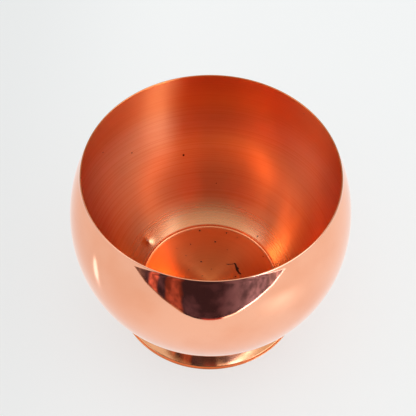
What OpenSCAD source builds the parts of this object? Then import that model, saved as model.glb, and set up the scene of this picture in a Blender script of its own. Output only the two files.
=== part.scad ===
// Footed copper bowl: a spun shell on a separate flared foot ring, soldered together.
// Millimetres, +Z up. The origin is on the bowl's axis, on the plane the foot stands on.

/* [Bowl] */
// Outside diameter of the rim
rim_d = 147; // [132:1:155]
// Outside diameter at the widest point
belly_d = 165; // [160:1:175]
// Height of the rim above the table
height = 124; // [115:1:135]
// Radius of the wall's arc below the widest point
under_r = 86; // [85:0.5:90]
// Thickness of the copper sheet
sheet_t = 0.8; // [0.7:0.1:1.2]

/* [Floor] */
// Diameter of the sunken disc in the floor
disc_d = 87.6; // [80:0.2:90]
// Height of the disc's upper face above the table
disc_z = 9.25; // [8.5:0.05:12]
// Depth of the disc below the wall around it
disc_drop = 1.5; // [1.2:0.1:2]
// Radius of the bend where the disc meets its step
disc_bend_r = 0.8; // [0.4:0.1:1]

/* [Foot] */
// Outside diameter of the foot, over its lip
foot_d = 118.4; // [116:0.2:124]
// Width of the flat lip that the bowl stands on
lip_w = 1.6; // [1.2:0.1:2]
// Angle between the foot's wall and the vertical
foot_flare = 30; // [24:1:32]

/* [Joint] */
// Thickness of the solder between the bowl and the foot's flange
solder_t = 0.15; // [0.1:0.05:0.25]
// Clearance between the floor's spigot and the hole in the flange
spigot_gap = 0.2; // [0.1:0.05:0.3]
// Radius of the solder fillets at the neck and at the spigot
fillet_r = 0.6; // [0.4:0.1:0.7]

/* [Hidden] */

COPPER = [0.93, 0.58, 0.42];
FOOT_COPPER = [0.86, 0.50, 0.34];
SOLDER = [0.78, 0.76, 0.72];

// Fine enough that the thin walls keep their volume
$fn = 360;

rim_r = rim_d / 2;
belly_r = belly_d / 2;
disc_r = disc_d / 2;
foot_r = foot_d / 2;

// Rounded to a hundredth of a millimetre, so that arcs and flats meet exactly
function hundredths(a) = round(a * 100) / 100;

// The wall is two arcs that share a vertical tangent at the widest point, so
// both centres lie at belly_z, at distances under_x and over_x from the axis.
// The lower arc's inner face ends at the top of the step round the disc.
under_x = belly_r - under_r;
step_top_z = disc_z + disc_drop;
under_rise = sqrt(pow(under_r - sheet_t, 2) - pow(disc_r - under_x, 2));
belly_z = hundredths(step_top_z + under_rise);
shoulder_h = height - belly_z;
shoulder_in = belly_r - rim_r;
over_r = hundredths((pow(shoulder_h, 2) + pow(shoulder_in, 2)) / (2 * shoulder_in));
over_x = belly_r - over_r;

// Height, at distance r from the axis, of a surface that is concentric with the
// lower arc and has radius a
function under_z(r, a) = belly_z - sqrt(pow(a, 2) - pow(r - under_x, 2));

// The disc, and the centre of the bend round its edge
disc_low_z = disc_z - sheet_t;
bend_over_r = disc_bend_r + sheet_t;
bend_x = disc_r - disc_bend_r;
bend_z = disc_z + disc_bend_r;

// The spigot is the step's outer face, which passes through the foot's flange. Its
// top is within the wall's thickness.
spigot_r = disc_r + sheet_t;
spigot_top_z = (under_z(spigot_r, under_r) + step_top_z) / 2;

// The foot's wall is a cone. Its outer face meets the top of the lip at cone_r.
cone_r = foot_r - lip_w;
cone_t = sheet_t / cos(foot_flare);
cone_top_z = belly_z / 3;
flange_hole_r = spigot_r + spigot_gap;
flange_over_r = under_r + solder_t;
flange_under_r = flange_over_r + sheet_t;

// The neck is where the cone's outer face meets the flange's upper face. It is
// found along the cone's slope: up to the point nearest the lower arc's centre,
// and back by half of the chord that the flange's circle cuts from the slope.
function cone_at(z) = cone_r - (z - sheet_t) * tan(foot_flare);
centre_dr = under_x - cone_r;
centre_dz = belly_z - sheet_t;
centre_along = centre_dz * cos(foot_flare) - centre_dr * sin(foot_flare);
centre_across = centre_dr * cos(foot_flare) + centre_dz * sin(foot_flare);
half_chord = sqrt(pow(flange_over_r, 2) - pow(centre_across, 2));
neck_z = sheet_t + (centre_along - half_chord) * cos(foot_flare);
neck_r = cone_at(neck_z);

flange_low_z = under_z(flange_hole_r, flange_under_r);

// Disc of radius a about the centre of the lower arc
module under_disc(a) {
    translate([under_x, belly_z]) circle(a);
}

// Arc of the wall between two levels, with outer radius a about [x, belly_z]
module wall_arc(x, a, low_z, high_z) {
    intersection() {
        translate([x, belly_z]) difference() {
            circle(a);
            circle(a - sheet_t);
        }
        translate([max(x, disc_r), low_z]) square([belly_d, high_z - low_z]);
    }
}

// Section of the sunken disc: flat, bend and step
module disc_section() {
    translate([0, disc_low_z]) square([bend_x, sheet_t]);
    intersection() {
        translate([bend_x, bend_z]) difference() {
            circle(bend_over_r);
            circle(disc_bend_r);
        }
        translate([bend_x, disc_low_z]) square(bend_over_r);
    }
    translate([disc_r, bend_z]) square([sheet_t, spigot_top_z - bend_z]);
}

// Section of the bowl, on the +r side of its axis
module body_section() {
    wall_arc(under_x, under_r, 0, belly_z);
    wall_arc(over_x, over_r, belly_z, height);
    disc_section();
}

// Everything inside the foot's cone, moved in by inset
module cone_outline(inset) {
    top_r = cone_at(cone_top_z) - inset;
    polygon([
        [0, 0],
        [cone_at(0) - inset, 0],
        [top_r, cone_top_z],
        [0, cone_top_z]
    ]);
}

// Flat lip with a rounded outer edge
module lip_section() {
    edge_r = sheet_t / 2;
    in_r = cone_at(0) - cone_t;
    translate([in_r, 0]) square([foot_r - edge_r - in_r, sheet_t]);
    translate([foot_r - edge_r, edge_r]) circle(edge_r);
}

// Section of the foot: lip, cone and the flange under the bowl
module foot_section() {
    difference() {
        cone_outline(0);
        difference() {
            cone_outline(cone_t);
            under_disc(flange_under_r);
        }
        under_disc(flange_over_r);
        square([flange_hole_r, height]);
    }
    lip_section();
}

// Section of the solder: a film over the flange and in the gap round the spigot,
// with a fillet at each end
module solder_section() {
    difference() {
        union() {
            intersection() {
                under_disc(flange_over_r);
                translate([spigot_r, 0]) square([neck_r - spigot_r, cone_top_z]);
            }
            translate([spigot_r, flange_low_z]) square([spigot_gap, spigot_top_z - flange_low_z]);
            translate([neck_r, neck_z]) circle(fillet_r);
            translate([flange_hole_r, flange_low_z]) circle(fillet_r);
        }
        under_disc(under_r);
        disc_section();
        foot_section();
    }
}

// Spun shell: shoulder, belly, floor disc and spigot, in one sheet
module bowl_body() {
    color(COPPER) rotate_extrude() body_section();
}

// Spun foot ring: flange, flared wall and lip
module foot_ring() {
    color(FOOT_COPPER) rotate_extrude() foot_section();
}

// Solder between the bowl and the foot's flange
module solder_seam() {
    color(SOLDER) rotate_extrude() solder_section();
}

bowl_body();
foot_ring();
solder_seam();
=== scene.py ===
"""Looks of the footed copper bowl: its three parts, a pale studio table and the camera."""

import math

import bpy
import numpy as np
from mathutils import Matrix, Vector


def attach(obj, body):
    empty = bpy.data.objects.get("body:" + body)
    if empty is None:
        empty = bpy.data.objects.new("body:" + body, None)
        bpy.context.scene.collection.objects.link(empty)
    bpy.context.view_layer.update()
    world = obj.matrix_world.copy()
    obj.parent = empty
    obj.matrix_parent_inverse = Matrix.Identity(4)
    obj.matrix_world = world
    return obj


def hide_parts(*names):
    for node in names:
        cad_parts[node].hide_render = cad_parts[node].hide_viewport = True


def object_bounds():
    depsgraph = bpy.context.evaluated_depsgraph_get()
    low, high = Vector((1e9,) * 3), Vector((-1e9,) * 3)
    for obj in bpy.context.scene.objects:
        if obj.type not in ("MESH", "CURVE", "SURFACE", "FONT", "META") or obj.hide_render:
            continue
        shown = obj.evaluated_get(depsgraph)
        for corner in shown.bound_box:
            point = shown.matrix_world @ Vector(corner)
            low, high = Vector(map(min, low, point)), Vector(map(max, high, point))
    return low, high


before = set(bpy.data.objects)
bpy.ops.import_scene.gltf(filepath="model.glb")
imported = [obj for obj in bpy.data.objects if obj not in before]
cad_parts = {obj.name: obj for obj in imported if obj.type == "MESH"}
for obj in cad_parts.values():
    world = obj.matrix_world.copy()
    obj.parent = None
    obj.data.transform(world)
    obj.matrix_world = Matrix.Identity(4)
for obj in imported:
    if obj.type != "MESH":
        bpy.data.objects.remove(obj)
cad_low, cad_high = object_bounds()

MM = 0.001
IMAGE_SIDE = 416

# Tolerances: for a level or a radius read off the CAD mesh, for the spread and the least
# height of an upright wall, and for two points that are the same
NEAR = 0.01 * MM
WALL_SPREAD = 0.001 * MM
WALL_HEIGHT = 0.2 * MM
SAME_POINT = 0.001 * MM
LEAST_LENGTH = 1e-9

# Decimals of a metre kept when radii are grouped and when points are compared
RADIUS_DECIMALS = 6
POINT_DECIMALS = 8

# Steps round the axis, the longest step along a wall and along its base, and steps in a bend
TURN_STEPS = 432
WALL_STEP = 2.4 * MM
BASE_STEP = 0.9 * MM
BEND_STEPS = 7

# Edges that the spinning and the polishing have rounded
RIM_ROUND = 0.32 * MM
STEP_ROUND = 0.55 * MM
NECK_ROUND = 0.5 * MM
LIP_FILLET = 0.7 * MM
FLANGE_ROUND = 0.12 * MM
INNER_NECK_ROUND = 0.9 * MM

# Height above the disc up to which the inside has short steps
BASE_HEIGHT = 9 * MM

# Rings left by the spinning: height of the wave, distance between crests, a second wave's
# share, length and phase, the bare stretch at each end with its fade, and the floor's share
RIPPLE_HEIGHT = 0.006 * MM
RIPPLE_LENGTH = 7.0 * MM
LONG_RIPPLE = 0.6
LONG_RIPPLE_LENGTH = 2.7 * RIPPLE_LENGTH
LONG_RIPPLE_PHASE = 1.3
RIPPLE_GAP = 4 * MM
RIPPLE_FADE = 6 * MM
FLOOR_RIPPLE = 0.5

# The solder bead: points round its section, how far its size wavers, and the waves in it,
# each with its count round the axis and its share. The first starts elsewhere on each bead.
BEAD_STEPS = 12
BEAD_WAVER = 0.12
BEAD_WAVES = ((23, 0.5), (61, 0.3), (5, 0.2))
BEAD_PHASE = 9.0 / MM

# A small dent in the inner face, near the floor
DENT_AZIMUTH = math.radians(-56)
DENT_RADIUS = 49.4 * MM
DENT_WIDTH = 3.2 * MM
DENT_DEPTH = 0.5 * MM

# Linear colours
POLISHED_COPPER = (0.93, 0.445, 0.285)
POLISHED_DEEP = (0.90, 0.385, 0.225)
SATIN_COPPER = (0.94, 0.28, 0.078)
SATIN_DEEP = (0.92, 0.235, 0.06)
BRUSHED_COPPER = (0.95, 0.365, 0.155)
BRUSHED_DEEP = (0.90, 0.255, 0.075)
LINE_COPPER = (0.82, 0.22, 0.06)
PAINTED_REFLECTION_COPPER = (0.95, 0.44, 0.21)
DISC_COPPER = (0.93, 0.25, 0.07)
FOOT_COPPER = (0.86, 0.42, 0.22)
FOOT_DEEP = (0.78, 0.34, 0.15)
SPECK = (0.035, 0.016, 0.010)
SOLDER = (0.60, 0.56, 0.50)
SOLDER_DULL = (0.40, 0.36, 0.31)

# The inside mixes a clear reflection with one that brushing has spread: the roughness of
# each, the share of the spread one at the floor and up the wall, and the heights between
CLEAR_ROUGH = 0.16
BRUSHED_ROUGH = 0.42
LEAST_BRUSHED = 0.27
MOST_BRUSHED = 0.66
BRUSHED_FROM = 6 * MM
BRUSHED_TO = 60 * MM

# Heights above the disc of a painted reflection, paler low on the wall, and of painted shade, deeper
# under the rim
PAINTED_REFLECTION_FROM = 5 * MM
PAINTED_REFLECTION_TO = 20 * MM
RIM_SHADE_FROM = 62 * MM
RIM_SHADE_TO = 88 * MM

# Specks inside: radius, the dark middle's share of it, what it is divided by for the largest
# and the smallest, the size of a cell that may hold one, and the share of cells that do
SPECK_RADIUS = 0.75 * MM
SPECK_CORE = 0.55
SPECK_SHRINK = (0.75, 1.5)
FLOOR_SPECK_CELL = 8 * MM
FLOOR_SPECK_SHARE = 0.45
WALL_SPECK_CELL = 26 * MM
WALL_SPECK_SHARE = 0.3

# How far inside the disc's radius its colour and its specks start to fade, and are gone
DISC_EDGE = (2 * MM, 1 * MM)

# The stain: its corners by the disc's radius, half widths inside and outside the soft edge of
# its thin and thick stroke, and how its outline wavers
STAIN_START = (0.26, 0.30)
STAIN_CORNER = (0.37, 0.31)
STAIN_END = (0.45, 0.15)
THIN_STROKE = (0.25 * MM, 0.5 * MM)
THICK_STROKE = (0.6 * MM, 1.1 * MM)
STAIN_WAVER = 3 * MM
STAIN_GRAIN = 300.0

# Features per metre of the smears, and of the fine lines across and along them
POLISHED_SMEARS = 26.0
POLISHED_LINES = (2600.0, 45.0)
SATIN_CLOUDS = 34.0
SATIN_LINES = (1500.0, 9.0)
FOOT_SMEARS = 60.0
FOOT_LINES = (2400.0, 60.0)
SOLDER_GRAINS = 420.0

# Heights that the bump of each material stands for
POLISHED_BUMP = 0.0015 * MM
SATIN_BUMP = 0.0012 * MM
FOOT_BUMP = 0.003 * MM
SOLDER_BUMP = 0.03 * MM

# Roughness from the smears or grains, and what the lines add
POLISHED_ROUGH = (0.035, 0.085)
POLISHED_LINE_ROUGH = 0.03
FOOT_ROUGH = (0.05, 0.10)
FOOT_LINE_ROUGH = 0.04
SOLDER_ROUGH = (0.28, 0.50)
CLEAR_VARIES = 0.015
BRUSHED_VARIES = 0.03
SPECK_ROUGH = 0.3

# How far clouds and lines take the satin towards its deep colour, and the lines of the
# brushed share towards theirs
CLOUD_TONE = 0.6
LINE_TONE = 0.5
BRUSHED_LINE_TONE = 0.4

# The values of a noise between which a tone or a roughness goes from one end to the other
TONE_NOISE = (0.35, 0.70)
POLISHED_ROUGH_NOISE = (0.40, 0.72)
FOOT_ROUGH_NOISE = (0.40, 0.70)
LINE_ROUGH_NOISE = (0.30, 0.80)
SATIN_LINE_NOISE = (0.35, 0.65)
BRUSHED_LINE_NOISE = (0.42, 0.66)
WIDE_NOISE = (0.30, 0.70)

# Octaves of noise in smears and in lines
SMEAR_DETAIL = 4.0
LINE_DETAIL = 3.0

# How far the lines draw out the reflections inside, and in which direction, as a share of a
# turn from the tangent round the axis
CLEAR_GRAIN = 0.9
BRUSHED_GRAIN = 1.0
GRAIN_TURN = 0.25


# ---------------------------------------------------------------- sizes

def section(name):
    """Distance from the axis and height of each vertex of a CAD node."""
    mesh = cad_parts[name].data
    co = np.array([v.co for v in mesh.vertices], float)
    return np.hypot(co[:, 0], co[:, 1]), co[:, 2]


def bowl_sizes():
    """The bowl's levels, radii and arc centres, measured on its CAD mesh."""
    r, z = section("bowl_body")
    s = {"height": z.max(), "low": z.min(), "belly_r": r.max()}
    s["belly_z"] = z[np.argmax(r)]
    s["rim_r"] = r[z > z.max() - NEAR].max()
    s["bend_x"] = r[z < z.min() + NEAR].max()
    floor = z[(r < s["bend_x"] + NEAR) & (z > z.min() + NEAR)]
    s["disc_z"] = floor.min()
    s["sheet"] = s["disc_z"] - s["low"]
    base = (z < s["disc_z"] + 2 * s["sheet"]) & (r > s["bend_x"])
    walls = sorted_walls(r[base], z[base])
    s["disc_r"], s["bend_z"] = walls[0][0], walls[0][1]
    s["spigot_r"], s["spigot_top"] = walls[-1][0], walls[-1][2]
    over_h = s["height"] - s["belly_z"]
    s["over_r"] = arc_radius(over_h, s["belly_r"] - s["rim_r"])
    under_h = s["belly_z"] - s["spigot_top"]
    s["under_r"] = arc_radius(under_h, s["belly_r"] - s["spigot_r"])
    s["over_x"] = s["belly_r"] - s["over_r"]
    s["under_x"] = s["belly_r"] - s["under_r"]
    return s


def sorted_walls(r, z):
    """Upright stretches of a section: (radius, lowest z, highest z), from the axis out."""
    found = []
    for radius in np.unique(np.round(r, RADIUS_DECIMALS)):
        levels = z[abs(r - radius) < WALL_SPREAD]
        if np.ptp(levels) > WALL_HEIGHT:
            found.append((radius, levels.min(), levels.max()))
    return found


def arc_radius(rise, depth):
    """Radius of an arc that leaves the widest point upright and moves in by depth."""
    return (rise * rise + depth * depth) / (2 * depth)


def foot_sizes():
    """Corners of the foot ring's section, measured on its CAD mesh."""
    r, z = section("foot_ring")
    s = {"foot_r": r.max(), "low": z.min(), "hole_r": r.min()}
    hole = z[r < r.min() + NEAR]
    s["hole_low"], s["hole_top"] = hole.min(), hole.max()
    s["neck"] = (r[np.argmax(z)], z.max())
    s["in_low"] = r[z < z.min() + NEAR].min()
    lip = r > s["in_low"] + (s["foot_r"] - s["in_low"]) / 2
    s["lip_top"] = z[lip].max()
    s["cone_low"] = r[abs(z - s["lip_top"]) < NEAR].min()
    slope = (s["cone_low"] - s["neck"][0]) / (s["neck"][1] - s["lip_top"])
    inner = abs(r + z * slope - s["in_low"]) < 2 * NEAR
    s["in_neck"] = (r[inner][np.argmax(z[inner])], z[inner].max())
    return s


# ---------------------------------------------------------------- sections

def arc(cx, cz, radius, start, end, step):
    """Points on an arc, with start and end in radians, anticlockwise from +r."""
    count = max(2, int(math.ceil(abs(end - start) * radius / step)))
    turns = np.linspace(start, end, count + 1)
    return [(cx + radius * math.cos(t), cz + radius * math.sin(t)) for t in turns]


def line(a, b, step):
    """Points from a to b."""
    length = math.dist(a, b)
    count = max(1, int(math.ceil(length / step)))
    return [
        (a[0] + (b[0] - a[0]) * i / count, a[1] + (b[1] - a[1]) * i / count)
        for i in range(count + 1)
    ]


def join(*runs):
    """One run of points, without repeats where two runs meet."""
    points = []
    for run in runs:
        for p in run:
            if not points or math.dist(p, points[-1]) > SAME_POINT:
                points.append((float(p[0]), float(p[1])))
    return points


def rounded(corners, steps):
    """Closed section from (r, z, radius) corners, each rounded to its radius."""
    points = []
    for i, (r, z, radius) in enumerate(corners):
        here = Vector((r, z))
        back = (Vector(corners[i - 1][:2]) - here).normalized()
        on = (Vector(corners[(i + 1) % len(corners)][:2]) - here).normalized()
        half = back.angle(on) / 2
        reach = radius / math.tan(half)
        centre = here + (back + on).normalized() * (radius / math.sin(half))
        first = here + back * reach - centre
        last = here + on * reach - centre
        for k in range(steps + 1):
            spoke = first.lerp(last, k / steps).normalized() * radius
            points.append(tuple(centre + spoke))
    return points


def bowl_section(s):
    """The bowl's section from the middle of the floor, over the rim, to the underside.
    Also gives the index of the rim's top, where the inside ends."""
    inner, outer = inner_face(s), outer_face(s)
    rim = rim_edge(inner[-1], outer[0])
    inside = join(inner, rim[: len(rim) // 2 + 1])
    whole = join(inside, rim, outer)
    return drop_doubles(whole), len(inside) - 1


def bend_sizes(s):
    """Inner radius of the bend round the disc, and the length of a step along it."""
    bend_in = s["disc_r"] - s["bend_x"]
    return bend_in, bend_in * math.pi / 2 / BEND_STEPS


def inner_face(s):
    """The inner face, from the middle of the floor to the start of the rim's rounding."""
    bend_in, bend_step = bend_sizes(s)
    inner = s["under_r"] - s["sheet"]
    under_x, belly_z = s["under_x"], s["belly_z"]
    disc = line((0, s["disc_z"]), (s["bend_x"], s["disc_z"]), WALL_STEP)
    bend = arc(s["bend_x"], s["bend_z"], bend_in, -math.pi / 2, 0, bend_step)
    top_x = s["disc_r"] + STEP_ROUND
    top_z = belly_z - math.sqrt((inner + STEP_ROUND) ** 2 - (top_x - under_x) ** 2)
    towards = math.atan2(belly_z - top_z, under_x - top_x)
    top = arc(top_x, top_z, STEP_ROUND, math.pi, towards, bend_step)
    base_end = math.asin((s["disc_z"] + BASE_HEIGHT - belly_z) / inner)
    base = arc(under_x, belly_z, inner, towards - math.pi, base_end, BASE_STEP)
    under = arc(under_x, belly_z, inner, base_end, 0, WALL_STEP)
    over_r = s["over_r"] - s["sheet"]
    over = arc(s["over_x"], belly_z, over_r, 0, rim_turn(s, over_r), WALL_STEP)
    return join(disc, bend, top, base, under, over)


def outer_face(s):
    """The outer face, from the end of the rim's rounding to the middle of the underside."""
    bend_in, bend_step = bend_sizes(s)
    under_x, belly_z = s["under_x"], s["belly_z"]
    over = arc(s["over_x"], belly_z, s["over_r"], rim_turn(s, s["over_r"]), 0, WALL_STEP)
    spigot_turn = -math.acos((s["spigot_r"] - under_x) / s["under_r"])
    under = arc(under_x, belly_z, s["under_r"], 0, spigot_turn, WALL_STEP)
    spigot = line(under[-1], (s["spigot_r"], s["bend_z"]), BASE_STEP)
    bend_r = bend_in + s["sheet"]
    bend = arc(s["bend_x"], s["bend_z"], bend_r, 0, -math.pi / 2, 2 * bend_step)
    underside = line((s["bend_x"], s["low"]), (0, s["low"]), 2 * WALL_STEP)
    return join(over, under, spigot, bend, underside)


def rim_turn(s, radius):
    """Angle at which the shoulder's arc, with this radius, reaches the rim's rounding."""
    return math.asin((s["height"] - RIM_ROUND - s["belly_z"]) / radius)


def drop_doubles(points):
    """The run without points that turn back on themselves at a seam between runs."""
    seen = set()
    kept = []
    for p in points:
        key = (round(p[0], POINT_DECIMALS), round(p[1], POINT_DECIMALS))
        if key not in seen:
            seen.add(key)
            kept.append(p)
    return kept


def rim_edge(inner, outer):
    """Half-round edge over the sheet, from the inner face to the outer face."""
    cx = (inner[0] + outer[0]) / 2
    half = (outer[0] - inner[0]) / 2
    turns = np.linspace(math.pi, 0, 2 * BEND_STEPS + 1)
    return [(cx + half * math.cos(t), inner[1] + RIM_ROUND * math.sin(t)) for t in turns]


def foot_section(s):
    """The foot ring's section: flange, flared wall and lip."""
    lip_round = (s["lip_top"] - s["low"]) / 2 - NEAR
    corners = [
        (s["hole_r"], s["hole_low"], FLANGE_ROUND),
        (s["hole_r"], s["hole_top"], FLANGE_ROUND),
        (*s["neck"], NECK_ROUND),
        (s["cone_low"], s["lip_top"], LIP_FILLET),
        (s["foot_r"], s["lip_top"], lip_round),
        (s["foot_r"], s["low"], lip_round),
        (s["in_low"], s["low"], FLANGE_ROUND),
        (*s["in_neck"], INNER_NECK_ROUND),
    ]
    return rounded(corners, BEND_STEPS)


# ---------------------------------------------------------------- meshes

def lathe(points, closed):
    """Vertices and faces of a section turned round the axis. An open section starts and
    ends on the axis. Faces look outward for a section that runs over the top."""
    turns = np.arange(TURN_STEPS) * 2 * math.pi / TURN_STEPS
    rings = points if closed else points[1:-1]
    verts = [
        (r * math.cos(t), r * math.sin(t), z) for r, z in rings for t in turns
    ]
    faces = []
    count = len(rings)
    for i in range(count if closed else count - 1):
        a, b = i * TURN_STEPS, (i + 1) % count * TURN_STEPS
        for k in range(TURN_STEPS):
            n = (k + 1) % TURN_STEPS
            faces.append((a + k, a + n, b + n, b + k))
    if not closed:
        faces += caps(points, verts, count)
    return verts, faces


def caps(points, verts, count):
    """Fans that close an open section at the axis. Adds their two middle vertices."""
    first, last = len(verts), len(verts) + 1
    verts.append((0.0, 0.0, points[0][1]))
    verts.append((0.0, 0.0, points[-1][1]))
    end = (count - 1) * TURN_STEPS
    faces = []
    for k in range(TURN_STEPS):
        n = (k + 1) % TURN_STEPS
        faces.append((first, n, k))
        faces.append((last, end + k, end + n))
    return faces


def add_mesh(name, verts, faces):
    """A smooth-shaded object from vertices and faces."""
    mesh = bpy.data.meshes.new(name)
    mesh.from_pydata([tuple(map(float, v)) for v in verts], [], faces)
    mesh.update()
    mesh.polygons.foreach_set("use_smooth", [True] * len(mesh.polygons))
    piece = bpy.data.objects.new(name, mesh)
    bpy.context.scene.collection.objects.link(piece)
    return piece


def spun(points, share):
    """The section with the faint rings that spinning leaves, as strong as each point's share."""
    p = np.array(points)
    steps = np.hypot(*np.diff(p, axis=0).T)
    along = np.concatenate([[0], np.cumsum(steps)])
    slope = np.gradient(p, axis=0)
    normal = np.stack([-slope[:, 1], slope[:, 0]], axis=1)
    normal /= np.maximum(np.linalg.norm(normal, axis=1, keepdims=True), LEAST_LENGTH)
    wave = np.sin(along * 2 * math.pi / RIPPLE_LENGTH)
    long_turns = along * 2 * math.pi / LONG_RIPPLE_LENGTH
    wave += LONG_RIPPLE * np.sin(long_turns + LONG_RIPPLE_PHASE)
    p += normal * (wave * share * RIPPLE_HEIGHT)[:, None]
    return [tuple(q) for q in p]


def press_dent(verts, inner_count, s):
    """Presses a dent into the inner face, which the first inner_count vertices make."""
    co = np.array(verts)
    out = DENT_RADIUS - s["under_x"]
    drop = math.sqrt((s["under_r"] - s["sheet"]) ** 2 - out ** 2)
    way = np.array([math.sin(DENT_AZIMUTH), math.cos(DENT_AZIMUTH), 0])
    centre = way * DENT_RADIUS + np.array([0, 0, s["belly_z"] - drop])
    outward = way * out - np.array([0, 0, drop])
    outward /= np.linalg.norm(outward)
    near = np.exp(-np.sum((co - centre) ** 2, axis=1) / DENT_WIDTH ** 2)
    near[inner_count:] = 0
    return co + near[:, None] * outward * DENT_DEPTH


def make_bowl(s):
    """The spun bowl, with its inside in the first material slot."""
    points, top = bowl_section(s)
    r = np.array([p[0] for p in points])
    z = np.array([p[1] for p in points])
    share = np.clip((z - s["disc_z"] - RIPPLE_GAP) / RIPPLE_FADE, 0, 1)
    share *= np.clip((s["height"] - z) / RIPPLE_FADE, 0, 1)
    floor = (r < s["bend_x"] - RIPPLE_GAP) & (np.arange(len(r)) < top)
    share = np.maximum(share, FLOOR_RIPPLE * floor)
    verts, faces = lathe(spun(points, share), closed=False)
    piece = add_mesh("spun_bowl", press_dent(verts, top * TURN_STEPS, s), faces)
    flip_if_inward(piece)
    inside = [0 if face_ring(f, top) else 1 for f in faces]
    piece.data.polygons.foreach_set("material_index", inside)
    return piece


def face_ring(face, top):
    """True if the face is on the inner side of the rim's top."""
    if len(face) == 3:
        return min(face) < TURN_STEPS
    return min(face) // TURN_STEPS < top - 1


def flip_if_inward(piece):
    """Turns the faces round if they enclose a negative volume."""
    mesh = piece.data
    volume = 0.0
    for f in mesh.polygons:
        a = mesh.vertices[f.vertices[0]].co
        for i in range(1, len(f.vertices) - 1):
            b, c = mesh.vertices[f.vertices[i]].co, mesh.vertices[f.vertices[i + 1]].co
            volume += a.dot(b.cross(c))
    if volume < 0:
        mesh.flip_normals()


def make_foot(s):
    """The flared foot ring."""
    verts, faces = lathe(foot_section(s), closed=True)
    piece = add_mesh("flared_foot", verts, faces)
    flip_if_inward(piece)
    return piece


def make_solder(foot):
    """A bead at the neck and one at the spigot, uneven as hand soldering leaves them."""
    reach = bead_reach(foot)
    verts, faces = [], []
    for cx, cz in (foot["neck"], (foot["hole_r"], foot["hole_low"])):
        ring_verts, ring_faces = bead(cx, cz, reach, len(verts))
        verts += ring_verts
        faces += ring_faces
    piece = add_mesh("solder_beads", verts, faces)
    flip_if_inward(piece)
    return piece


def bead_reach(foot):
    """Radius of the solder fillet, from how far the CAD solder passes the neck."""
    r = section("solder_seam")[0]
    return r.max() - foot["neck"][0]


def bead(cx, cz, reach, offset):
    """A wavering ring of solder about the circle at (cx, cz)."""
    verts, faces = [], []
    for k in range(TURN_STEPS):
        t = 2 * math.pi * k / TURN_STEPS
        size = reach * (1 - BEAD_WAVER + BEAD_WAVER * bead_waver(t, cx * BEAD_PHASE))
        for j in range(BEAD_STEPS):
            u = 2 * math.pi * j / BEAD_STEPS
            r = cx + size * math.cos(u)
            verts.append((r * math.cos(t), r * math.sin(t), cz + size * math.sin(u)))
    for k in range(TURN_STEPS):
        here, there = offset + k * BEAD_STEPS, offset + (k + 1) % TURN_STEPS * BEAD_STEPS
        for j in range(BEAD_STEPS):
            m = (j + 1) % BEAD_STEPS
            faces.append((here + j, there + j, there + m, here + m))
    return verts, faces


def bead_waver(turn, phase):
    """Waver of the bead at an angle round the axis, from -1 to 1."""
    waver = 0.0
    for count, share in BEAD_WAVES:
        waver += share * math.sin(count * turn + phase)
        phase = 0.0
    return waver


# ---------------------------------------------------------------- materials

class Tree:
    """Short ways to add nodes to a material's or the world's tree."""

    def __init__(self, owner):
        owner.use_nodes = True
        self.tree = owner.node_tree
        self.tree.nodes.clear()

    def add(self, kind, settings=None, **inputs):
        node = self.tree.nodes.new(kind)
        for key, value in (settings or {}).items():
            setattr(node, key, value)
        for key, value in inputs.items():
            self.put(node.inputs[key.replace("_", " ")], value)
        return node

    def put(self, socket, value):
        if isinstance(value, bpy.types.NodeSocket):
            self.tree.links.new(value, socket)
        elif hasattr(value, "__len__") and len(value) == 3 and socket.type == "RGBA":
            socket.default_value = (*value, 1.0)
        else:
            socket.default_value = value

    def math(self, operation, *values):
        node = self.tree.nodes.new("ShaderNodeMath")
        node.operation = operation
        for socket, value in zip(node.inputs, values):
            self.put(socket, value)
        return node.outputs[0]

    def remap(self, value, low, high, to_low, to_high):
        node = self.add("ShaderNodeMapRange", {"interpolation_type": "SMOOTHSTEP"}, Value=value)
        node.inputs["From Min"].default_value = low
        node.inputs["From Max"].default_value = high
        node.inputs["To Min"].default_value = to_low
        node.inputs["To Max"].default_value = to_high
        return node.outputs[0]

    def mix(self, factor, a, b):
        node = self.add("ShaderNodeMix", {"data_type": "RGBA"})
        self.put(node.inputs[0], factor)
        self.put(node.inputs[6], a)
        self.put(node.inputs[7], b)
        return node.outputs[2]

    def noise(self, vector, scale, detail=SMEAR_DETAIL):
        node = self.add("ShaderNodeTexNoise", Vector=vector, Scale=scale, Detail=detail)
        return node.outputs[0]

    def output(self, surface, kind="ShaderNodeOutputMaterial"):
        node = self.tree.nodes.new(kind)
        self.tree.links.new(surface, node.inputs["Surface"])


def coordinates(t):
    """The object's own coordinates, in metres: vector, x, y, z and distance from the axis."""
    place = t.add("ShaderNodeTexCoord").outputs["Object"]
    parts = t.add("ShaderNodeSeparateXYZ", Vector=place)
    x, y, z = parts.outputs
    squares = t.math("ADD", t.math("MULTIPLY", x, x), t.math("MULTIPLY", y, y))
    return place, x, y, z, t.math("SQRT", squares)


def spun_lines(t, x, y, z, r, fineness, length):
    """Noise drawn out round the axis, as tool and polishing marks lie on a spun piece."""
    stretched = t.add("ShaderNodeCombineXYZ")
    for socket, value, scale in zip(stretched.inputs, (x, y, z), (length, length, fineness)):
        t.put(socket, t.math("MULTIPLY", value, scale))
    node = t.add("ShaderNodeTexNoise", {"noise_dimensions": "4D"}, Scale=1.0, Detail=LINE_DETAIL)
    t.put(node.inputs["Vector"], stretched.outputs[0])
    t.put(node.inputs["W"], t.math("MULTIPLY", r, fineness))
    return node.outputs[0]


def principled(t, colour, roughness, **inputs):
    """A metal shader."""
    shader = t.add("ShaderNodeBsdfPrincipled", Base_Color=colour, Roughness=roughness)
    shader.inputs["Metallic"].default_value = 1.0
    for key, value in inputs.items():
        t.put(shader.inputs[key.replace("_", " ")], value)
    return shader.outputs[0]


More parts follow.
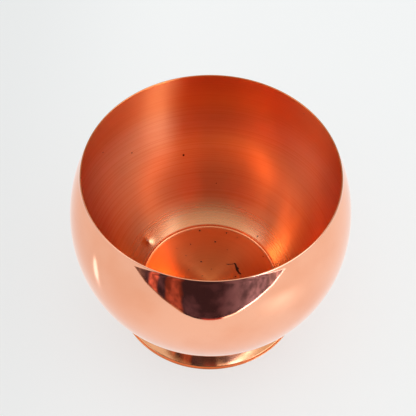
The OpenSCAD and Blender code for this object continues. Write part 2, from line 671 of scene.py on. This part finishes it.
def mix_shaders(t, share, a, b):
    """A mixture of two shaders: all a at share 0, all b at share 1."""
    node = t.add("ShaderNodeMixShader", Fac=share)
    t.tree.links.new(a, node.inputs[1])
    t.tree.links.new(b, node.inputs[2])
    return node.outputs[0]


def bump(t, height, distance):
    """A normal from a height in 0..1 that stands for distance metres."""
    return t.add("ShaderNodeBump", Height=height, Distance=distance, Strength=1.0).outputs[0]


def polished_copper():
    """Mirror-polished outside, with faint smears and polishing lines."""
    material = bpy.data.materials.new("polished_copper_outside")
    t = Tree(material)
    place, x, y, z, r = coordinates(t)
    smears = t.noise(place, POLISHED_SMEARS)
    lines = spun_lines(t, x, y, z, r, *POLISHED_LINES)
    tone = t.remap(smears, *TONE_NOISE, 0.0, 1.0)
    colour = t.mix(tone, POLISHED_COPPER, POLISHED_DEEP)
    rough = t.remap(smears, *POLISHED_ROUGH_NOISE, *POLISHED_ROUGH)
    rough = t.math("ADD", rough, t.remap(lines, *LINE_ROUGH_NOISE, 0.0, POLISHED_LINE_ROUGH))
    normal = bump(t, lines, POLISHED_BUMP)
    t.output(principled(t, colour, rough, Normal=normal))
    return material


def satin_copper(s):
    """Satin inside, brushed round the axis, with a few dark specks and one stain. The brushing
    is strong high on the wall and fades out towards the floor."""
    material = bpy.data.materials.new("satin_copper_inside")
    t = Tree(material)
    place, x, y, z, r = coordinates(t)
    height = t.math("SUBTRACT", z, s["disc_z"])
    on_disc = disc_mask(t, r, s)
    cloud = t.noise(place, SATIN_CLOUDS)
    lines = spun_lines(t, x, y, z, r, *SATIN_LINES)
    specks = t.math("MAXIMUM", speck_mask(t, x, y, z, r, s), stain_mask(t, place, s))
    colour = t.mix(specks, clear_colour(t, cloud, lines, height, on_disc), SPECK)
    brushed_tone = t.mix(specks, brushed_colour(t, lines, height, on_disc), SPECK)
    clear_rough = about(t, cloud, TONE_NOISE, CLEAR_ROUGH, CLEAR_VARIES)
    clear_rough = t.math("ADD", clear_rough, t.math("MULTIPLY", specks, SPECK_ROUGH))
    brushed_rough = about(t, lines, WIDE_NOISE, BRUSHED_ROUGH, BRUSHED_VARIES)
    tangent = t.add("ShaderNodeTangent", {"direction_type": "RADIAL", "axis": "Z"}).outputs[0]
    grain = {"Tangent": tangent, "Anisotropic_Rotation": GRAIN_TURN}
    grain["Normal"] = bump(t, lines, SATIN_BUMP)
    clear = principled(t, colour, clear_rough, Anisotropic=CLEAR_GRAIN, **grain)
    brushed = principled(t, brushed_tone, brushed_rough, Anisotropic=BRUSHED_GRAIN, **grain)
    share = t.remap(height, BRUSHED_FROM, BRUSHED_TO, LEAST_BRUSHED, MOST_BRUSHED)
    t.output(mix_shaders(t, share, clear, brushed))
    return material


def about(t, noise, span, middle, varies):
    """A value that follows a noise, from middle - varies to middle + varies."""
    return t.remap(noise, *span, middle - varies, middle + varies)


def clear_colour(t, cloud, lines, height, on_disc):
    """The satin's colour: cloudy, paler low on the wall as a painted reflection, and redder on the
    disc.
    """
    tone = t.math("MULTIPLY", t.remap(cloud, *TONE_NOISE, 0.0, 1.0), CLOUD_TONE)
    tone = t.math("ADD", tone, t.remap(lines, *SATIN_LINE_NOISE, 0.0, LINE_TONE))
    colour = t.mix(tone, SATIN_COPPER, SATIN_DEEP)
    # Painted reflection: the colour turns paler low on the wall
    colour = t.mix(t.remap(height, PAINTED_REFLECTION_FROM, PAINTED_REFLECTION_TO, 1.0, 0.0), colour, PAINTED_REFLECTION_COPPER)
    return t.mix(on_disc, colour, DISC_COPPER)


def brushed_colour(t, lines, height, on_disc):
    """The colour of the brushed share: deeper on the disc, deeper under the rim as painted shade,
    and with lines.
    """
    # Painted shade deepens the colour under the rim; the disc is deeper too
    deep = t.math("MAXIMUM", t.remap(height, RIM_SHADE_FROM, RIM_SHADE_TO, 0.0, 1.0), on_disc)
    colour = t.mix(deep, BRUSHED_COPPER, BRUSHED_DEEP)
    line_tone = t.remap(lines, *BRUSHED_LINE_NOISE, 0.0, BRUSHED_LINE_TONE)
    return t.mix(line_tone, colour, LINE_COPPER)


def disc_mask(t, r, s):
    """1 on the floor disc and 0 on the wall."""
    inner, outer = DISC_EDGE
    return t.remap(r, s["disc_r"] - inner, s["disc_r"] - outer, 1.0, 0.0)


def speck_mask(t, x, y, z, r, s):
    """Small dark specks: many on the floor disc, a few on the wall."""
    on_floor = disc_mask(t, r, s)
    floor = t.math("MULTIPLY", scattered(t, x, y, FLOOR_SPECK_CELL, FLOOR_SPECK_SHARE), on_floor)
    around = t.math("MULTIPLY", t.math("ARCTAN2", x, y), s["rim_r"])
    wall = scattered(t, around, z, WALL_SPECK_CELL, WALL_SPECK_SHARE)
    off_floor = t.math("SUBTRACT", 1.0, on_floor)
    return t.math("MAXIMUM", floor, t.math("MULTIPLY", wall, off_floor))


def scattered(t, u, v, cell, share):
    """Round spots of differing size, in a share of the cells of a plane."""
    plane = t.add("ShaderNodeCombineXYZ", X=u, Y=v).outputs[0]
    cells = t.add("ShaderNodeTexVoronoi", {"voronoi_dimensions": "2D"}, Vector=plane, Scale=1 / cell)
    chance = t.add("ShaderNodeSeparateColor", Color=cells.outputs["Color"])
    largest, smallest = SPECK_SHRINK
    shrink = t.remap(chance.outputs[1], 0.0, 1.0, smallest, largest)
    distance = t.math("MULTIPLY", t.math("MULTIPLY", cells.outputs["Distance"], cell), shrink)
    spot = t.remap(distance, SPECK_CORE * SPECK_RADIUS, SPECK_RADIUS, 1.0, 0.0)
    chosen = t.math("LESS_THAN", chance.outputs[0], share)
    return t.math("MULTIPLY", spot, chosen)


def stain_mask(t, place, s):
    """A crooked stain of two strokes on the floor disc, placed by the disc's radius."""
    grain = t.add("ShaderNodeTexNoise", Vector=place, Scale=STAIN_GRAIN).outputs["Color"]
    jitter = scaled(t, vector(t, "SUBTRACT", grain, (0.5, 0.5, 0.5)), STAIN_WAVER)
    wavering = vector(t, "ADD", place, jitter)
    r = s["disc_r"]
    start, corner, end = [(r * u, r * v) for u, v in (STAIN_START, STAIN_CORNER, STAIN_END)]
    thin = t.remap(stroke_distance(t, wavering, start, corner), *THIN_STROKE, 1.0, 0.0)
    thick = t.remap(stroke_distance(t, wavering, corner, end), *THICK_STROKE, 1.0, 0.0)
    height = t.add("ShaderNodeSeparateXYZ", Vector=place).outputs[2]
    low = t.math("LESS_THAN", height, s["disc_z"] + MM)
    return t.math("MULTIPLY", t.math("MAXIMUM", thin, thick), low)


def scaled(t, value, scale):
    """A vector times a number."""
    node = t.add("ShaderNodeVectorMath", {"operation": "SCALE"}, Scale=scale)
    t.put(node.inputs[0], value)
    return node.outputs[0]


def vector(t, operation, a, b):
    """A vector made from two others."""
    node = t.add("ShaderNodeVectorMath", {"operation": operation})
    t.put(node.inputs[0], a)
    t.put(node.inputs[1], b)
    return node.outputs[1 if operation == "DOT_PRODUCT" else 0]


def stroke_distance(t, place, start, end):
    """Distance, seen from above, to the straight stroke from start to end."""
    first = Vector((*start, 0))
    way = Vector((*end, 0)) - first
    flat = vector(t, "MULTIPLY", place, (1, 1, 0))
    offset = vector(t, "SUBTRACT", flat, tuple(first))
    share = vector(t, "DOT_PRODUCT", offset, tuple(way / way.length_squared))
    share = t.math("MINIMUM", t.math("MAXIMUM", share, 0.0), 1.0)
    gap = vector(t, "SUBTRACT", offset, scaled(t, tuple(way), share))
    length = t.add("ShaderNodeVectorMath", {"operation": "LENGTH"})
    t.put(length.inputs[0], gap)
    return length.outputs["Value"]


def foot_copper():
    """The foot's copper: a little browner and less polished than the bowl."""
    material = bpy.data.materials.new("foot_copper_worn")
    t = Tree(material)
    place, x, y, z, r = coordinates(t)
    smears = t.noise(place, FOOT_SMEARS)
    lines = spun_lines(t, x, y, z, r, *FOOT_LINES)
    colour = t.mix(t.remap(smears, *TONE_NOISE, 0.0, 1.0), FOOT_COPPER, FOOT_DEEP)
    rough = t.remap(smears, *FOOT_ROUGH_NOISE, *FOOT_ROUGH)
    rough = t.math("ADD", rough, t.remap(lines, *LINE_ROUGH_NOISE, 0.0, FOOT_LINE_ROUGH))
    t.output(principled(t, colour, rough, Normal=bump(t, lines, FOOT_BUMP)))
    return material


def solder_metal():
    """Dull grey solder with a copper blush."""
    material = bpy.data.materials.new("soft_solder")
    t = Tree(material)
    place = coordinates(t)[0]
    grains = t.noise(place, SOLDER_GRAINS)
    colour = t.mix(t.remap(grains, *TONE_NOISE, 0.0, 1.0), SOLDER, SOLDER_DULL)
    rough = t.remap(grains, *WIDE_NOISE, *SOLDER_ROUGH)
    t.output(principled(t, colour, rough, Normal=bump(t, grains, SOLDER_BUMP)))
    return material


# ---------------------------------------------------------------- stage and light

# The table: half its side, its own colour, a constant glow as the studio's fill, which is
# dimmer at the left as painted shade, and the extra glow that only the copper sees
FLOOR_REACH = 6.0
FLOOR_DROP = 0.02 * MM
FLOOR_ALBEDO = (0.38, 0.38, 0.38)
FLOOR_GLOW = (0.535, 0.55, 0.55)
FLOOR_DIM = 0.84
FLOOR_DIM_X = -190 * MM
FLOOR_FULL_X = -20 * MM
GLOSSY_FLOOR_GLOW = (0.11, 0.13, 0.14)

# Glints on the table that only the copper sees: middle x and y, reach in x and y, strength
GLINT_COLOUR = (0.9, 1.3, 1.5)
LEFT_GLINT = (-0.170, -0.0455, 0.024, 0.0045, 3.0)
RIGHT_GLINT = (0.140, -0.150, 0.038, 0.040, 0.42)

# The room as the copper sees it: brightness added at the horizon, then low down and overhead,
# and the heights, as sines of the elevation, where the horizon's glow ends and where low
# turns into overhead
STUDIO_WHITE = (0.95, 0.96, 0.96)
DAYLIGHT = (0.88, 1.22, 1.55)
ROOM_HORIZON = 0.55
ROOM_LOW = 0.12
ROOM_HIGH = 0.95
HORIZON_ENDS = 0.45
LOW_ENDS = 0.55
HIGH_STARTS = 0.85

# The room's soft lights, and a soft dark part that takes its share away, each by azimuth
# (0 behind the bowl, 90 to its right), elevation, spread in degrees and brightness
DARK_FRONT = (-178, 12, 26.0, 0.95)
SIDE_WINDOW = (141, 20, 7.0, 17.0)
SIDE_WINDOW_EDGE = 150
EDGE_SOFTNESS = 0.03
SIDE_WINDOW_TOP = (121, 34, 8.0, 3.0)
SKYLIGHT = (86, 57, 8.0, 4.0)
SKYLIGHT_TOP = (60, 71, 9.0, 0.75)
RIGHT_WINDOW = (80, 27, 5.0, 0.6)
LEFT_WINDOW = (-99, 37, 8.0, 1.2)
LEFT_WINDOW_LOW = (-88, 23, 7.0, 0.6)
LEFT_SKYLIGHT = (-92, 60, 8.0, 1.8)
BACK_GLOW = (-45, 54, 12.0, 0.25)
ROOM_LIGHTS = (
    SIDE_WINDOW_TOP, SKYLIGHT, SKYLIGHT_TOP, RIGHT_WINDOW,
    LEFT_WINDOW, LEFT_WINDOW_LOW, LEFT_SKYLIGHT, BACK_GLOW,
)

# The front card: its nearest distance, half width and height, and how it falls back
CARD_STEPS = 72
CARD_NEAR = 0.190
CARD_SPREAD = 0.42
CARD_HEIGHT = 0.16
CARD_NOSE = 0.06
CARD_FLANK = 0.26
CARD_SHOULDER = 0.0326
CARD_SHOULDER_X = 0.095

# How far the edges of its bands waver, and the mottling: features per metre, the noise values
# that it uses and its darkest and brightest
CARD_WAVER = 35 * MM
CARD_WAVER_SCALE = 20.0
CARD_WAVER_DETAIL = 2.0
CARD_MOTTLE_SCALE = 28.0
CARD_MOTTLE = (0.35, 0.68, 0.55, 1.55)

# The card's lowest strip, which the foot reflects, and its bands from left to right: painted
# reflections, the white and glint ones painted highlights
HEM_HEIGHT = 4 * MM
HEM_FADE = 2 * MM
HEM_TAN = (0.36, 0.22, 0.14)
HEM_BROWN = (0.62, 0.36, 0.22)
HEM_BLACK = (0.02, 0.0, 0.0)
HEM_RED = (0.60, 0.08, 0.05)
# Painted highlights on the foot: these hem bands glow brighter than white
HEM_HIGHLIGHT = (2.6, 2.2, 2.1)
HEM_GLINT = (4.5, 4.5, 5.5)
HEM_BANDS = (
    (-0.110, HEM_TAN),
    (-0.085, HEM_BROWN),
    (-0.058, HEM_BROWN),
    (-0.050, HEM_BLACK),
    (-0.016, HEM_BLACK),
    (-0.008, HEM_RED),
    (0.024, HEM_RED),
    (0.032, HEM_HIGHLIGHT),
    (0.060, HEM_HIGHLIGHT),
    (0.085, HEM_GLINT),
)

# The card's own bands from left to right, each with its distance across the card; they glow as
# painted reflections
CARD_DIM = (0.34, 0.24, 0.20)
CARD_BLACK = (0.075, 0.045, 0.065)
CARD_RED = (0.66, 0.18, 0.13)
CARD_RUST = (0.32, 0.085, 0.055)
CARD_GREY = (0.34, 0.26, 0.36)
CARD_MAUVE = (0.66, 0.52, 0.62)
CARD_BANDS = (
    (-0.400, CARD_DIM),
    (-0.215, CARD_BLACK),
    (-0.197, CARD_RED),
    (-0.160, CARD_RED),
    (-0.150, CARD_BLACK),
    (-0.118, CARD_BLACK),
    (-0.108, CARD_RUST),
    (-0.062, CARD_RUST),
    (-0.054, CARD_BLACK),
    (0.030, CARD_BLACK),
    (0.120, CARD_GREY),
    (0.175, CARD_GREY),
    (0.240, CARD_MAUVE),
)


def make_floor():
    """The pale matt table, a little darker to the left as painted shade. The copper also sees two
    glints on it.
    """
    w = FLOOR_REACH
    piece = add_mesh("floor", [(-w, -w, 0), (w, -w, 0), (w, w, 0), (-w, w, 0)], [(0, 1, 2, 3)])
    piece.location.z = cad_low.z - FLOOR_DROP
    material = bpy.data.materials.new("pale_table")
    t = Tree(material)
    x, y = coordinates(t)[1:3]
    table = t.add("ShaderNodeBsdfDiffuse", Color=FLOOR_ALBEDO)
    # Painted shade: the fill's glow is dimmer towards the left
    side = t.remap(x, FLOOR_DIM_X, FLOOR_FULL_X, FLOOR_DIM, 1.0)
    fill = t.add("ShaderNodeEmission", Color=FLOOR_GLOW, Strength=side)
    lit = add_shaders(t, table.outputs[0], fill.outputs[0])
    glints = t.math("ADD", soft_spot(t, x, y, *LEFT_GLINT), soft_spot(t, x, y, *RIGHT_GLINT))
    glow = t.mix(glints, GLOSSY_FLOOR_GLOW, GLINT_COLOUR)
    reflected = t.add("ShaderNodeLightPath").outputs["Is Glossy Ray"]
    extra = t.add("ShaderNodeEmission", Color=glow, Strength=reflected)
    t.output(add_shaders(t, lit, extra.outputs[0]))
    piece.data.materials.append(material)


def soft_spot(t, x, y, middle_x, middle_y, reach_x, reach_y, strength):
    """A bell-shaped patch on the table, strength high in its middle."""
    u = t.math("DIVIDE", t.math("SUBTRACT", x, middle_x), reach_x)
    v = t.math("DIVIDE", t.math("SUBTRACT", y, middle_y), reach_y)
    square = t.math("ADD", t.math("MULTIPLY", u, u), t.math("MULTIPLY", v, v))
    return t.math("MULTIPLY", t.math("EXPONENT", t.math("MULTIPLY", square, -1.0)), strength)


def add_shaders(t, a, b):
    """The sum of two shaders."""
    node = t.tree.nodes.new("ShaderNodeAddShader")
    t.tree.links.new(a, node.inputs[0])
    t.tree.links.new(b, node.inputs[1])
    return node.outputs[0]


def only_reflected(piece):
    """Shows a stage piece in reflections alone."""
    piece.visible_camera = False
    piece.visible_diffuse = False
    piece.visible_shadow = False
    piece.visible_transmission = False
    piece.visible_volume_scatter = False


def card_line(x):
    """Distance of the front card from the axis plane, at x across it."""
    flank = CARD_FLANK * (math.hypot(x, CARD_NOSE) - CARD_NOSE)
    shoulder = CARD_SHOULDER * (1 - math.exp(-(x / CARD_SHOULDER_X) ** 2))
    return CARD_NEAR + flank + shoulder


def make_front_card():
    """A dark curved card in front of the bowl, seen only in the copper, where its glowing bands are
    painted reflections.
    """
    verts, faces = [], []
    for i in range(CARD_STEPS + 1):
        x = CARD_SPREAD * (2 * i / CARD_STEPS - 1)
        verts += [(x, -card_line(x), 0.0), (x, -card_line(x), CARD_HEIGHT)]
    for i in range(CARD_STEPS):
        a = 2 * i
        faces.append((a, a + 2, a + 3, a + 1))
    piece = add_mesh("front_card", verts, faces)
    piece.data.materials.append(card_glow())
    only_reflected(piece)


def card_glow():
    """The card's glowing bands of painted reflection, wavering and mottled, above the plain bands of
    its lowest strip.
    """
    material = bpy.data.materials.new("painted_reflection_card")
    t = Tree(material)
    place = t.add("ShaderNodeTexCoord").outputs["Object"]
    parts = t.add("ShaderNodeSeparateXYZ", Vector=place).outputs
    x, z = parts[0], parts[2]
    noise = t.noise(place, CARD_WAVER_SCALE, CARD_WAVER_DETAIL)
    waver = t.math("MULTIPLY", t.math("SUBTRACT", noise, 0.5), CARD_WAVER)
    card = banded(t, t.math("ADD", x, waver), CARD_BANDS)
    above = t.remap(z, HEM_HEIGHT, HEM_HEIGHT + HEM_FADE, 0.0, 1.0)
    colour = t.mix(above, banded(t, x, HEM_BANDS), card)
    mottle = t.remap(t.noise(place, CARD_MOTTLE_SCALE), *CARD_MOTTLE)
    brightness = t.math("ADD", t.math("MULTIPLY", above, mottle), t.math("SUBTRACT", 1.0, above))
    t.output(t.add("ShaderNodeEmission", Color=colour, Strength=brightness).outputs[0])
    return material


def banded(t, across, bands):
    """The colour at a distance across the card, from (distance, colour) pairs."""
    share = t.add("ShaderNodeMapRange", Value=across)
    share.inputs["From Min"].default_value = -CARD_SPREAD
    share.inputs["From Max"].default_value = CARD_SPREAD
    ramp = t.add("ShaderNodeValToRGB", Fac=share.outputs[0])
    stops = ramp.color_ramp.elements
    while len(stops) < len(bands):
        stops.new(1.0)
    for stop, (distance, colour) in zip(stops, bands):
        stop.position = (distance + CARD_SPREAD) / (2 * CARD_SPREAD)
        stop.color = (*colour, 1.0)
    return ramp.outputs[0]


def make_world():
    """Plain pale surroundings for the table, and a room with soft lights for the copper."""
    world = bpy.data.worlds.new("studio")
    bpy.context.scene.world = world
    t = Tree(world)
    way = t.add("ShaderNodeTexCoord").outputs["Generated"]
    height = t.add("ShaderNodeSeparateXYZ", Vector=way).outputs[2]
    horizon = t.remap(height, 0.0, HORIZON_ENDS, ROOM_HORIZON, 0.0)
    room = t.math("ADD", t.remap(height, LOW_ENDS, HIGH_STARTS, ROOM_LOW, ROOM_HIGH), horizon)
    shade = t.math("SUBTRACT", 1.0, soft_light(t, way, *DARK_FRONT))
    room = t.math("MULTIPLY", room, shade)
    windows = t.math("MULTIPLY", soft_light(t, way, *SIDE_WINDOW), left_of(t, way, SIDE_WINDOW_EDGE))
    for light in ROOM_LIGHTS:
        windows = t.math("ADD", windows, soft_light(t, way, *light))
    reflected = t.add("ShaderNodeLightPath").outputs["Is Glossy Ray"]
    strength = t.math("ADD", t.math("MULTIPLY", reflected, room), t.math("SUBTRACT", 1.0, reflected))
    plain = t.add("ShaderNodeBackground", Color=STUDIO_WHITE, Strength=strength)
    seen = t.math("MULTIPLY", reflected, windows)
    daylight = t.add("ShaderNodeBackground", Color=DAYLIGHT, Strength=seen)
    t.output(add_shaders(t, plain.outputs[0], daylight.outputs[0]), "ShaderNodeOutputWorld")


def soft_light(t, way, azimuth, elevation, spread, brightness):
    """Brightness towards way of a light with soft edges. Angles are in degrees."""
    a, e = math.radians(azimuth), math.radians(elevation)
    axis = (math.sin(a) * math.cos(e), math.cos(a) * math.cos(e), math.sin(e))
    miss = t.math("SUBTRACT", vector(t, "DOT_PRODUCT", way, axis), 1.0)
    lobe = t.math("EXPONENT", t.math("DIVIDE", miss, math.radians(spread) ** 2))
    return t.math("MULTIPLY", lobe, brightness)


def left_of(t, way, azimuth):
    """1 towards ways short of an upright edge at azimuth, in degrees, and 0 past it."""
    a = math.radians(azimuth)
    past = vector(t, "DOT_PRODUCT", way, (math.cos(a), -math.sin(a), 0.0))
    return t.remap(past, -EDGE_SOFTNESS, EDGE_SOFTNESS, 1.0, 0.0)


# ---------------------------------------------------------------- camera

# Focal length in pixels, angle below level, how far the axis lies beside the middle of the
# image in pixels, roll, and place
LENS_PX = 1050.0
CAMERA_TILT = math.radians(53.47)
CAMERA_ASIDE = math.atan(-2.70 / LENS_PX)
CAMERA_ROLL = 0.0182
CAMERA_PLACE = (0, -0.36658, 0.58351)
SENSOR_WIDTH = 36.0
CLIP_NEAR = 0.01
CLIP_FAR = 50.0


def turned(a, b, angle):
    """Two perpendicular ways, both turned by an angle from the first towards the second."""
    c, s = math.cos(angle), math.sin(angle)
    return a * c + b * s, b * c - a * s


def add_camera():
    """The camera, above and in front of the bowl, looking steeply down into it."""
    forward = Vector((0, math.cos(CAMERA_TILT), -math.sin(CAMERA_TILT)))
    right = Vector((1, 0, 0))
    up = right.cross(forward)
    forward, right = turned(forward, right, CAMERA_ASIDE)
    right, up = turned(right, up, CAMERA_ROLL)
    data = bpy.data.cameras.new("camera")
    data.sensor_width = SENSOR_WIDTH
    data.lens = LENS_PX * SENSOR_WIDTH / IMAGE_SIDE
    data.clip_start, data.clip_end = CLIP_NEAR, CLIP_FAR
    camera = bpy.data.objects.new("camera", data)
    turn = Matrix((right, up, -forward)).transposed()
    camera.matrix_world = Matrix.Translation(CAMERA_PLACE) @ turn.to_4x4()
    bpy.context.scene.collection.objects.link(camera)
    bpy.context.scene.camera = camera


# ---------------------------------------------------------------- the scene

bowl_size = bowl_sizes()
foot_size = foot_sizes()

bowl = make_bowl(bowl_size)
bowl.data.materials.append(satin_copper(bowl_size))
bowl.data.materials.append(polished_copper())
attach(bowl, "root")
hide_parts("bowl_body")

foot = make_foot(foot_size)
foot.data.materials.append(foot_copper())
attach(foot, "root")
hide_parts("foot_ring")

solder = make_solder(foot_size)
solder.data.materials.append(solder_metal())
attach(solder, "root")
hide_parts("solder_seam")

make_floor()
make_front_card()
make_world()
add_camera()

scene = bpy.context.scene
scene.view_settings.view_transform = "Standard"
scene.cycles.max_bounces = 16
scene.cycles.glossy_bounces = 14
scene.cycles.diffuse_bounces = 3
scene.cycles.caustics_reflective = True
scene.cycles.blur_glossy = 0.3
